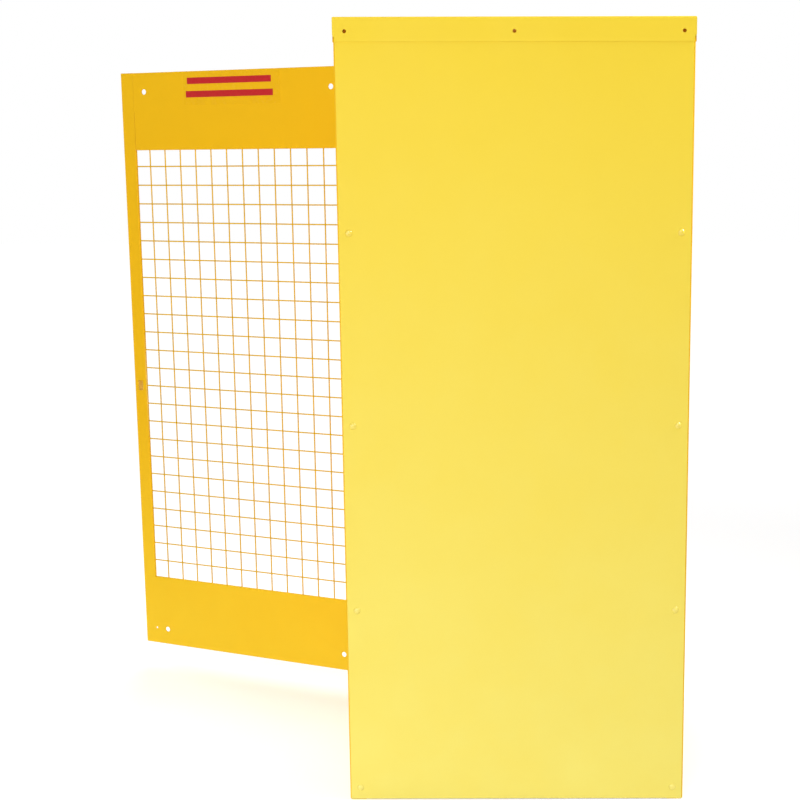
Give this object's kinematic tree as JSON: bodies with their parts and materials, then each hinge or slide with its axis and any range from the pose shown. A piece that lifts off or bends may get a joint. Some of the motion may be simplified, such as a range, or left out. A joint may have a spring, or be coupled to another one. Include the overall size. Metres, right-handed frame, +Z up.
{
  "type": "safety cabinet",
  "caption": "Upright sheet steel gas cylinder cabinet with a roof cap, a solid bolted rear panel and a side-hung welded wire mesh door that swings wide open.",
  "frame": {"origin": "centre of the cabinet's footprint on the floor, midway between the four anchor holes", "axes": "+Z up, the front and its door opening face -Y, the rear panel faces +Y, the door hangs on the +X side"},
  "size_m": [1.465, 1.0857, 1.727],
  "materials": {
    "paint": "satin yellow powder coat",
    "mesh_paint": "satin yellow powder coat",
    "zinc": "zinc plated",
    "rubber": "matt"
  },
  "bodies": {
    "cabinet": {"roof_cap": "paint", "roof_stiffener": "paint", "floor_stiffener": "paint", "rear_panel": "paint", "right_side_panel": "paint", "left_side_panel": "paint", "rear_right_post": "paint", "rear_left_post": "paint", "front_right_post": "paint", "front_left_post": "paint", "foot_plates": "paint", "floor_pan": "paint", "front_header": "paint", "rear_panel_bolts": "paint", "right_restraint_rails": "paint", "left_restraint_rails": "paint", "padlock_staple": "paint", "bottom_hinge_fixed_leaf": "paint", "middle_hinge_fixed_leaf": "paint", "top_hinge_fixed_leaf": "paint", "rear_panel_nuts": "zinc", "bottom_hinge_pin": "zinc", "middle_hinge_pin": "zinc", "top_hinge_pin": "zinc", "door_bumpers": "rubber"},
    "door": {"door_latch_stile": "paint", "door_hinge_stile": "paint", "door_top_band": "paint", "door_bottom_band": "paint", "mesh_vertical_wires": "mesh_paint", "mesh_horizontal_wires": "mesh_paint", "bottom_hinge_door_leaf": "paint", "middle_hinge_door_leaf": "paint", "top_hinge_door_leaf": "paint"}
  },
  "joints": [
    {"name": "door_hinge", "type": "hinge", "parent": "cabinet", "child": "door", "pos_m": [0.3875, -0.3825, 0.87], "axis": [0, 0, 1], "range_deg": [-155, 25]}
  ]
}
